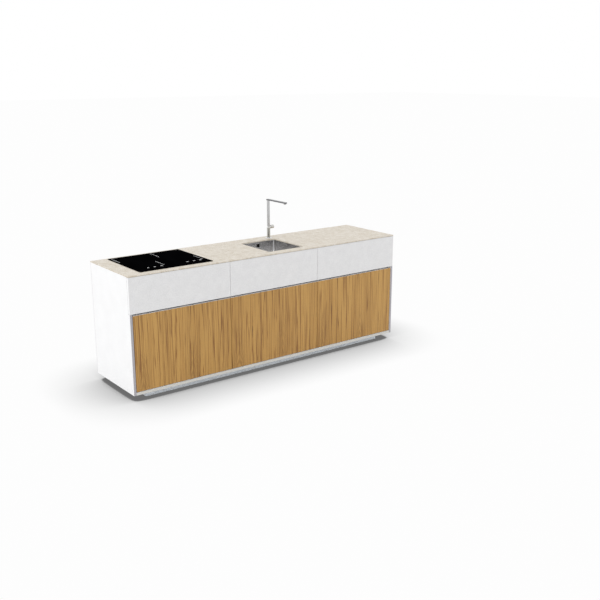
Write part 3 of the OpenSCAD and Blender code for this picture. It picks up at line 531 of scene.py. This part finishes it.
def rounded_rectangle(center, half_w, half_d, radius, z):
    """Points round a rectangle with round corners, anticlockwise from above."""
    points = []
    for quarter in range(4):
        middle = math.radians(45 + 90 * quarter)
        cx = center.x + math.copysign(half_w - radius, math.cos(middle))
        cy = center.y + math.copysign(half_d - radius, math.sin(middle))
        for step in range(CORNER_STEPS + 1):
            angle = math.radians(90 * quarter + 90 * step / CORNER_STEPS)
            points.append(Vector((cx + radius * math.cos(angle), cy + radius * math.sin(angle), z)))
    with_sides = []
    per_corner = CORNER_STEPS + 1
    for quarter in range(4):
        corner = points[quarter * per_corner:(quarter + 1) * per_corner]
        following = points[((quarter + 1) * per_corner) % len(points)]
        with_sides += corner
        with_sides += [corner[-1].lerp(following, s / SIDE_STEPS) for s in range(1, SIDE_STEPS)]
    return with_sides


# Sink bowl: the CAD bowl's place and sizes in metres, and the bends of the pressed sheet

SINK_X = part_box("strainer_basket")[0].lerp(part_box("strainer_basket")[1], 0.5).x
SINK_Y = -0.0275
SINK_WASTE_Y = 0.0325
SINK_TOP_Z = 0.8919
SINK_FLOOR_Z = 0.700
SINK_SHEET = 0.001
SINK_HALF_W = 0.169
SINK_HALF_D = 0.2015
SINK_CORNER_R = 0.016
FLANGE_WIDTH = 0.018
FLANGE_CORNER_R = 0.017
RIM_BEND_R = 0.0025
RIM_STEPS = 5
WALL_DRAFT = 0.0015
FOOT_COVE_R = 0.012
FOOT_STEPS = 6
FOOT_CORNER_R = 0.004
FLOOR_FALL = 0.004
FLOOR_SHARES = (0.25, 0.5, 0.75, 1.0)
WALL_MIDDLE_Z = 0.790
WASTE_SEAT_R = 0.060
WASTE_HOLE_R = 0.045
OVERFLOW_X = SINK_X + 0.008
OVERFLOW_HALF_W = 0.014
OVERFLOW_LOW_Z = 0.848
OVERFLOW_HIGH_Z = 0.874


def profile_ring(outward, z, least_radius=0.0):
    """Half width, half depth, corner radius and height of a ring that far outside the plain wall."""
    radius = max(SINK_CORNER_R + outward, least_radius)
    return (SINK_HALF_W + outward, SINK_HALF_D + outward, radius, z)


def sink_profile():
    """The bowl's rings from the flange to the foot of the walls."""
    rings = [(SINK_HALF_W + FLANGE_WIDTH, SINK_HALF_D + FLANGE_WIDTH, FLANGE_CORNER_R, SINK_TOP_Z)]
    for step in range(RIM_STEPS + 1):
        angle = math.radians(90 - 90 * step / RIM_STEPS)
        low = SINK_TOP_Z - RIM_BEND_R * (1 - math.sin(angle))
        rings.append(profile_ring(RIM_BEND_R * (1 - math.cos(angle)), low))
    cove_top = SINK_FLOOR_Z + FLOOR_FALL + FOOT_COVE_R
    for z in (OVERFLOW_HIGH_Z, OVERFLOW_LOW_Z, WALL_MIDDLE_Z, cove_top):
        inward = WALL_DRAFT * (SINK_TOP_Z - z) / (SINK_TOP_Z - cove_top)
        rings.append(profile_ring(-inward, z))
    for step in range(1, FOOT_STEPS + 1):
        angle = math.radians(90 * step / FOOT_STEPS)
        inward = WALL_DRAFT + FOOT_COVE_R * (1 - math.cos(angle))
        low = cove_top - FOOT_COVE_R * math.sin(angle)
        rings.append(profile_ring(-inward, low, FOOT_CORNER_R))
    return rings


def with_overflow_sides(ring):
    """The ring with two of its back side's points moved to the overflow's left and right."""
    moved = [p.copy() for p in ring]
    back_first = CORNER_STEPS + 1
    moved[back_first + 1].x = OVERFLOW_X + OVERFLOW_HALF_W
    moved[back_first + 2].x = OVERFLOW_X - OVERFLOW_HALF_W
    return moved


def floor_rings(foot):
    """Rings from the foot of the walls to the waste's seat and its hole."""
    waste = Vector((SINK_X, SINK_WASTE_Y, SINK_FLOOR_Z))
    outward = [(Vector((p.x, p.y, SINK_FLOOR_Z)) - waste).normalized() for p in foot]
    seat = [waste + WASTE_SEAT_R * d for d in outward]
    rings = []
    for share in FLOOR_SHARES:
        rings.append([a.lerp(b, share) for a, b in zip(foot, seat)])
    rings.append([waste + WASTE_HOLE_R * d for d in outward])
    return rings


def is_overflow_mouth(point):
    """Whether a face with this middle lies in the overflow's mouth."""
    inside_x = abs(point.x - OVERFLOW_X) < OVERFLOW_HALF_W
    inside_z = OVERFLOW_LOW_Z < point.z < OVERFLOW_HIGH_Z
    return inside_x and inside_z and point.y > SINK_Y


def open_overflow(mesh):
    """Cuts the overflow's mouth and turns the faces to the bowl's inside."""
    work = bmesh.new()
    work.from_mesh(mesh)
    work.faces.ensure_lookup_table()
    mouth = [f for f in work.faces if is_overflow_mouth(f.calc_center_median())]
    bmesh.ops.delete(work, geom=mouth, context="FACES")
    for face in work.faces:
        face.smooth = True
    bmesh.ops.recalc_face_normals(work, faces=work.faces)
    floor_face = min(work.faces, key=lambda f: f.calc_center_median().z)
    if floor_face.normal.z < 0:
        bmesh.ops.reverse_faces(work, faces=work.faces)
    work.to_mesh(mesh)
    work.free()


def pressed_sink(material):
    """The bowl as one pressed sheet, from its flange to a floor that falls to the waste."""
    center = Vector((SINK_X, SINK_Y, 0))
    rings = [with_overflow_sides(rounded_rectangle(center, *sizes)) for sizes in sink_profile()]
    rings += floor_rings(rings[-1])
    mesh = ring_loft(rings)
    open_overflow(mesh)
    bowl = mesh_object("pressed_sink_bowl", mesh, material, "cabinet")
    sheet = bowl.modifiers.new("sheet", "SOLIDIFY")
    sheet.thickness = SINK_SHEET
    sheet.offset = -1
    even = bowl.modifiers.new("even shading", "WEIGHTED_NORMAL")
    even.keep_sharp = True
    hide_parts("sink_bowl")


# Screws in the back

SCREW_R = 2.0 * MM
SCREW_TIP_R = 0.2 * MM
SCREW_TIP_L = 3.0 * MM
SCREW_HEAD_R = 5.0 * MM
SCREW_HEAD_H = 2.2 * MM
SCREW_HEAD_SHAPE = ((1.0, 0.0), (1.0, 0.42), (0.97, 0.62), (0.88, 0.80), (0.74, 0.92), (0.56, 1.0))
SOCKET_R = 1.75 * MM
SOCKET_LOBE = 0.3 * MM
SOCKET_DEPTH = 1.5 * MM
SOCKET_LOBES = 6
SCREW_STEPS = 36
SCREW_CREASE = math.radians(35)
MODULES = 3
SCREWS_PER_BOARD = 3


def screw_ring(radius, y, lobe=0.0):
    """A ring round the screw's axis, with the socket's lobes if asked."""
    ring = []
    for step in range(SCREW_STEPS):
        angle = 2 * math.pi * step / SCREW_STEPS
        r = radius + lobe * math.cos(SOCKET_LOBES * angle)
        ring.append(Vector((r * math.cos(angle), y, r * math.sin(angle))))
    return ring


def one_screw(length):
    """A pan-head screw along Y, its head's seat at the origin and a six-lobe socket in the head."""
    rings = [
        screw_ring(SCREW_TIP_R, -length),
        screw_ring(SCREW_R, SCREW_TIP_L - length),
        screw_ring(SCREW_R, 0),
    ]
    for width, height in SCREW_HEAD_SHAPE:
        rings.append(screw_ring(SCREW_HEAD_R * width, SCREW_HEAD_H * height))
    rings.append(screw_ring(SOCKET_R, SCREW_HEAD_H, SOCKET_LOBE))
    rings.append(screw_ring(SOCKET_R, SCREW_HEAD_H - SOCKET_DEPTH, SOCKET_LOBE))
    mesh = ring_loft(rings, close_end=True)
    work = bmesh.new()
    work.from_mesh(mesh)
    bmesh.ops.holes_fill(work, edges=work.edges)
    bmesh.ops.recalc_face_normals(work, faces=work.faces)
    for face in work.faces:
        face.smooth = True
    for edge in work.edges:
        edge.smooth = edge.calc_face_angle(0) < SCREW_CREASE
    work.to_mesh(mesh)
    work.free()
    return bpy.data.objects.new("one_screw", mesh)


def row_of_points(tree, count, offset, axis):
    """A row of points along an axis."""
    row = tree.nodes.new("GeometryNodeMeshLine")
    tree.links.new(count, row.inputs["Count"])
    along = tree.nodes.new("ShaderNodeCombineXYZ")
    tree.links.new(offset, along.inputs[axis])
    tree.links.new(along.outputs["Vector"], row.inputs["Offset"])
    return row.outputs["Mesh"]


def moved_by(tree, geometry, offset):
    """A geometry moved by a vector."""
    move = tree.nodes.new("GeometryNodeTransform")
    tree.links.new(geometry, move.inputs["Geometry"])
    tree.links.new(offset, move.inputs["Translation"])
    return move.outputs["Geometry"]


def copies_on(tree, points, geometry):
    """Real copies of a geometry on every point."""
    place = tree.nodes.new("GeometryNodeInstanceOnPoints")
    real = tree.nodes.new("GeometryNodeRealizeInstances")
    tree.links.new(points, place.inputs["Points"])
    tree.links.new(geometry, place.inputs["Instance"])
    tree.links.new(place.outputs["Instances"], real.inputs["Geometry"])
    return real.outputs["Geometry"]


SCREW_ROWS_INPUTS = {
    "Screw": "NodeSocketObject",
    "Material": "NodeSocketMaterial",
    "Start": "NodeSocketVector",
    "Modules": "NodeSocketInt",
    "Module width": "NodeSocketFloat",
    "Board distance": "NodeSocketVector",
    "Rows": "NodeSocketInt",
    "Row distance": "NodeSocketFloat",
}


def new_inputs(tree, kinds):
    """Named inputs on a tree; returns the identifier of each."""
    identifiers = {}
    for name, kind in kinds.items():
        socket = tree.interface.new_socket(name=name, in_out="INPUT", socket_type=kind)
        identifiers[name] = socket.identifier
    return identifiers


def screw_rows_tree():
    """Nodes that put a screw in both boards of every module, in rows from the floor up."""
    tree = bpy.data.node_groups.new("screw_rows", "GeometryNodeTree")
    inputs = new_inputs(tree, SCREW_ROWS_INPUTS)
    tree.interface.new_socket(name="Geometry", in_out="OUTPUT", socket_type="NodeSocketGeometry")
    given = tree.nodes.new("NodeGroupInput").outputs
    left_boards = row_of_points(tree, given["Modules"], given["Module width"], "X")
    right_boards = moved_by(tree, left_boards, given["Board distance"])
    both_boards = tree.nodes.new("GeometryNodeJoinGeometry")
    tree.links.new(left_boards, both_boards.inputs["Geometry"])
    tree.links.new(right_boards, both_boards.inputs["Geometry"])
    rows = row_of_points(tree, given["Rows"], given["Row distance"], "Z")
    points = copies_on(tree, rows, both_boards.outputs["Geometry"])
    screw = tree.nodes.new("GeometryNodeObjectInfo")
    tree.links.new(given["Screw"], screw.inputs["Object"])
    screws = copies_on(tree, moved_by(tree, points, given["Start"]), screw.outputs["Geometry"])
    finish = tree.nodes.new("GeometryNodeSetMaterial")
    tree.links.new(screws, finish.inputs["Geometry"])
    tree.links.new(given["Material"], finish.inputs["Material"])
    output = tree.nodes.new("NodeGroupOutput")
    tree.links.new(finish.outputs["Geometry"], output.inputs["Geometry"])
    return tree, inputs


def grown_mesh(tree, inputs, values):
    """The plain mesh that a node tree makes from the values of its inputs."""
    carrier = bpy.data.objects.new(tree.name, bpy.data.meshes.new(tree.name))
    bpy.context.scene.collection.objects.link(carrier)
    grow = carrier.modifiers.new(tree.name, "NODES")
    grow.node_group = tree
    for name, value in values.items():
        grow[inputs[name]] = value
    seen = bpy.context.evaluated_depsgraph_get()
    mesh = bpy.data.meshes.new_from_object(carrier.evaluated_get(seen))
    carrier.modifiers.clear()
    bpy.data.objects.remove(carrier)
    return mesh


def back_screws(material):
    """The screws of the back panels, where the CAD screws are."""
    low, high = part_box("back_screws")
    board_low, board_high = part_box("left_side_panel")
    board = board_high.x - board_low.x
    module = (high.x - low.x - 2 * SCREW_HEAD_R + board) / MODULES
    seat_y = high.y - SCREW_HEAD_H
    screw = one_screw(seat_y - low.y)
    sizes = {
        "Screw": screw,
        "Material": material,
        "Start": (low.x + SCREW_HEAD_R, seat_y, low.z + SCREW_HEAD_R),
        "Modules": MODULES,
        "Module width": module,
        "Board distance": (module - board, 0, 0),
        "Rows": SCREWS_PER_BOARD,
        "Row distance": (high.z - low.z - 2 * SCREW_HEAD_R) / (SCREWS_PER_BOARD - 1),
    }
    mesh = grown_mesh(*screw_rows_tree(), sizes)
    bpy.data.objects.remove(screw)
    piece = mesh_object("socket_head_screws", mesh, material, "cabinet")
    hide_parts("back_screws")


# Printed hob

PRINT_LIFT = 0.03 * MM
PRINT_DEPTH = 0.05 * MM


def flat_prism(work, outline, low_z, high_z):
    """A closed slab over a flat outline, anticlockwise from above."""
    bottom = [work.verts.new((x, y, low_z)) for x, y in outline]
    top = [work.verts.new((x, y, high_z)) for x, y in outline]
    work.faces.new(list(reversed(bottom)))
    work.faces.new(top)
    for i in range(len(outline)):
        j = (i + 1) % len(outline)
        work.faces.new((bottom[i], bottom[j], top[j], top[i]))


# Zones from left to right, and what is printed on them, in millimetres
ZONES = ((-1072, -848), (-759, -536))
ZONE_REAR_Y = 245
ZONE_FRONT_Y = -142
MARK_LINE = 2.6
MARK_THIN_LINE = 1.2
MARK_LEG = 40
REAR_STROKE = 142
FRONT_STROKE = 132
FIELD_PLACES = (-985, -934, -880, -673, -618, -566)
FIELD_Y = -159
FIELD_HALF_W = 9
FIELD_HALF_D = 5
FIELD_STEPS = 24


def rear_corner(x, y):
    """A zone's rear left corner: a long stroke forwards and a thin leg to the right."""
    inner_x, inner_y = x + MARK_LINE, y - MARK_THIN_LINE
    return [(x, y - REAR_STROKE), (inner_x, y - REAR_STROKE), (inner_x, inner_y),
            (x + MARK_LEG, inner_y), (x + MARK_LEG, y), (x, y)]


def front_corner(x, y):
    """A zone's front right corner: a long stroke backwards and a thin leg to the left."""
    inner_x, inner_y = x - MARK_LINE, y + MARK_THIN_LINE
    return [(x - MARK_LEG, y), (x, y), (x, y + FRONT_STROKE), (inner_x, y + FRONT_STROKE),
            (inner_x, inner_y), (x - MARK_LEG, inner_y)]


def touch_field(x, y):
    """An oval round a point."""
    turn = 2 * math.pi / FIELD_STEPS
    angles = [turn * i for i in range(FIELD_STEPS)]
    return [(x + FIELD_HALF_W * math.cos(a), y + FIELD_HALF_D * math.sin(a)) for a in angles]


def hob_print():
    """White zone corners and touch fields on the glass."""
    outlines = [rear_corner(left, ZONE_REAR_Y) for left, right in ZONES]
    outlines += [front_corner(right, ZONE_FRONT_Y) for left, right in ZONES]
    outlines += [touch_field(x, FIELD_Y) for x in FIELD_PLACES]
    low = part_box("hob_glass")[1].z + PRINT_LIFT
    work = bmesh.new()
    for outline in outlines:
        flat_prism(work, [(x * MM, y * MM) for x, y in outline], low, low + PRINT_DEPTH)
    mesh = bpy.data.meshes.new("hob_print")
    work.to_mesh(mesh)
    work.free()
    ink = moulded("print_white", (0.80, 0.80, 0.80), 0.4)
    mesh_object("hob_print", mesh, ink, "cabinet")


# Finishes

WOOD_FRONTS = ("lower_left_front", "lower_middle_front", "lower_right_front")
GREY_FRONTS = ("upper_left_front", "upper_right_front", "sink_apron")
END_PANELS = ("left_side_panel", "right_side_panel")
PLINTHS = ("front_plinth", "back_plinth", "end_plinths")
BACK_PANELS = ("left_back_panel", "middle_back_panel", "right_back_panel")
FEET = tuple(name for name in NODES if "_foot_" in name)
# Heights where the tap's painted tones begin: a painted highlight on the lower body's top band,
# painted shade on the spout's arm.
TAP_RIM_H = 8.0 * MM
TAP_RIM_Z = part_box("tap_body")[1].z - TAP_RIM_H
SPOUT_H = 9.5 * MM
SPOUT_LOW_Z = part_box("tap_spout")[1].z - SPOUT_H

zinc = brushed("zinc", (0.62, 0.63, 0.64), 0.34, (1, 0.2, 1))
polished = brushed("polished_steel", (0.76, 0.765, 0.77), 0.10, (1, 1, 0.1))
ring_steel = brushed("tap_bright", (0.74, 0.74, 0.75), 0.22, (1, 1, 0.04))
knob_steel = brushed("knob_steel", (0.62, 0.61, 0.59), 0.24, (1, 1, 0.04))
# The spout's arm is painted dark as painted shade; the lower body's top band is painted near-white as
# a painted highlight.
spout_steel_painted_shade = tap_steel("tap_column", (0.53, 0.53, 0.535), (0.17, 0.17, 0.175), SPOUT_LOW_Z)
body_steel_painted_highlight = tap_steel("tap_lower_body", (0.51, 0.51, 0.49), (0.95, 0.95, 0.95), TAP_RIM_Z)
brass = brushed("brass", (0.62, 0.46, 0.20), 0.30, (1, 1, 0.2))
channel_plastic = moulded("channel", (0.88, 0.89, 0.92), 0.35)
black_plastic = moulded("black_plastic", (0.020, 0.020, 0.021), 0.45)
white_plastic = moulded("white_plastic", (0.780, 0.780, 0.770), 0.30)
aerator_plastic = moulded("aerator_plastic", (0.580, 0.580, 0.585), 0.30)

set_finish(worktop_laminate(), "worktop")
set_finish(plain_board("white_board", WHITE, 0.5, edge_color=EDGE_GREY), *END_PANELS)
set_finish(plain_board("base_board", WHITE, 0.5, edge_color=BASE_EDGE), "base_board")
set_finish(plain_board("inner_board", (0.72, 0.72, 0.72), 0.5), "inner_side_boards", "top_rails")
set_finish(plain_board("back_board", (0.74, 0.74, 0.75), 0.5), *BACK_PANELS)
set_finish(plain_board("plinth_board", PLINTH_GREY, 0.5), *PLINTHS)
set_finish(plain_board("drawer_board", (0.20, 0.20, 0.21), 0.45, 0.03 * MM), *nodes_ending("_box"))
set_finish(grey_front(), *GREY_FRONTS)
set_finish(teak_front(), *WOOD_FRONTS)
set_finish(channel_plastic, "grip_channels")
set_finish(zinc, "hob_casing", "hob_clamps", "sink_clips", "back_screws", "cabinet_rails")
set_finish(zinc, *nodes_ending("_middle_rails"))
set_finish(polished, "overflow_frame", "waste_body", "strainer_basket")
set_finish(black_plastic, "foot_sockets", "hob_fan", "overflow_pipe", *FEET)
set_finish(white_plastic, "bottle_trap")
set_finish(aerator_plastic, "tap_aerator")
set_finish(black_glass(), "hob_glass")
set_finish(copper("coil_copper"), "hob_coils", "tap_inlet_tails")
set_finish(circuit_green(), "hob_control_board")
set_finish(brass, "tap_shank_nut")
set_finish(ring_steel, "tap_base_ring")
set_finish(knob_steel, "tap_knob")
set_finish(spout_steel_painted_shade, "tap_spout")
set_finish(body_steel_painted_highlight, "tap_body")

ease_edges(1.0 * MM, 2, "worktop")
ease_edges(0.7 * MM, 2, *GREY_FRONTS, *WOOD_FRONTS)
ease_edges(0.5 * MM, 2, *END_PANELS, *PLINTHS)
ease_edges(0.8 * MM, 3, "hob_glass", "tap_spout")

pressed_sink(pressed_steel())
back_screws(zinc)
hob_print()


# Studio

SHADOW_REACH = 0.5
SHADOW_SAMPLES = 32
FLOOR_REACH = 60.0
FLOOR_MATT = (0.90, 0.90, 0.90)
# Floor tones by openness: a painted shadow, darkest under the kitchen.
FLOOR_TONES = (
    (0.30, 0.150), (0.47, 0.180), (0.505, 0.520), (0.56, 0.600), (0.64, 0.670),
    (0.75, 0.765), (0.86, 0.865), (0.95, 0.940), (1.0, 0.985),
)
LAMP_POWER = 42.0
LAMP_SIZE = (5.0, 3.0)
LAMP_PLACE = (-6.0, 0.3, 2.2)


def floor_material():
    """White to the camera, to mirrors and to glass, darkened by a painted shadow where the kitchen
    closes the floor in, and a matt floor to the kitchen's own light.
    """
    material = bpy.data.materials.new("studio_floor")
    material.use_nodes = True
    tree = material.node_tree
    tree.nodes.clear()
    rays = tree.nodes.new("ShaderNodeLightPath").outputs
    mirrored = math_on(tree, "MAXIMUM", rays["Is Glossy Ray"], rays["Is Transmission Ray"])
    seen = math_on(tree, "MAXIMUM", rays["Is Camera Ray"], mirrored)
    openness = tree.nodes.new("ShaderNodeAmbientOcclusion")
    openness.samples = SHADOW_SAMPLES
    openness.inputs["Distance"].default_value = SHADOW_REACH
    shade = tree.nodes.new("ShaderNodeEmission")
    tree.links.new(ramp_on(tree, openness.outputs["AO"], *FLOOR_TONES), shade.inputs["Color"])
    matt = tree.nodes.new("ShaderNodeBsdfDiffuse")
    matt.inputs["Color"].default_value = (*FLOOR_MATT, 1)
    mix = tree.nodes.new("ShaderNodeMixShader")
    tree.links.new(seen, mix.inputs["Fac"])
    tree.links.new(matt.outputs["BSDF"], mix.inputs[1])
    tree.links.new(shade.outputs["Emission"], mix.inputs[2])
    output = tree.nodes.new("ShaderNodeOutputMaterial")
    tree.links.new(mix.outputs["Shader"], output.inputs["Surface"])
    return material


def studio_floor():
    """A wide floor that is white in the open and darkens where the kitchen keeps the light away."""
    reach = FLOOR_REACH
    corners = [(-reach, -reach, 0), (reach, -reach, 0), (reach, reach, 0), (-reach, reach, 0)]
    mesh = bpy.data.meshes.new("studio_floor")
    mesh.from_pydata(corners, [], [(0, 1, 2, 3)])
    mesh.materials.append(floor_material())
    floor = bpy.data.objects.new("studio_floor", mesh)
    bpy.context.scene.collection.objects.link(floor)


def soft_lamp():
    """A large soft lamp that brightens the left end."""
    data = bpy.data.lights.new("left_lamp", "AREA")
    data.shape = "RECTANGLE"
    data.size, data.size_y = LAMP_SIZE
    data.energy = LAMP_POWER
    lamp = bpy.data.objects.new("left_lamp", data)
    lamp.location = LAMP_PLACE
    lamp.rotation_euler = (math.radians(90), 0, math.radians(-90))
    bpy.context.scene.collection.objects.link(lamp)


def white_world():
    """Even white light from all round."""
    world = bpy.data.worlds.new("white_world")
    world.use_nodes = True
    background = world.node_tree.nodes["Background"]
    background.inputs["Color"].default_value = (1, 1, 1, 1)
    background.inputs["Strength"].default_value = 1.0
    bpy.context.scene.world = world


def photo_camera():
    """The camera at the photograph's place."""
    data = bpy.data.cameras.new("camera")
    data.lens = CAMERA_LENS
    data.clip_end = CAMERA_FAR
    camera = bpy.data.objects.new("camera", data)
    camera.location = CAMERA_PLACE
    camera.rotation_euler = (math.pi / 2 - CAMERA_ELEVATION, 0, CAMERA_AZIMUTH)
    bpy.context.scene.collection.objects.link(camera)
    bpy.context.scene.camera = camera


studio_floor()
soft_lamp()
white_world()
photo_camera()
bpy.context.scene.view_settings.view_transform = "Standard"
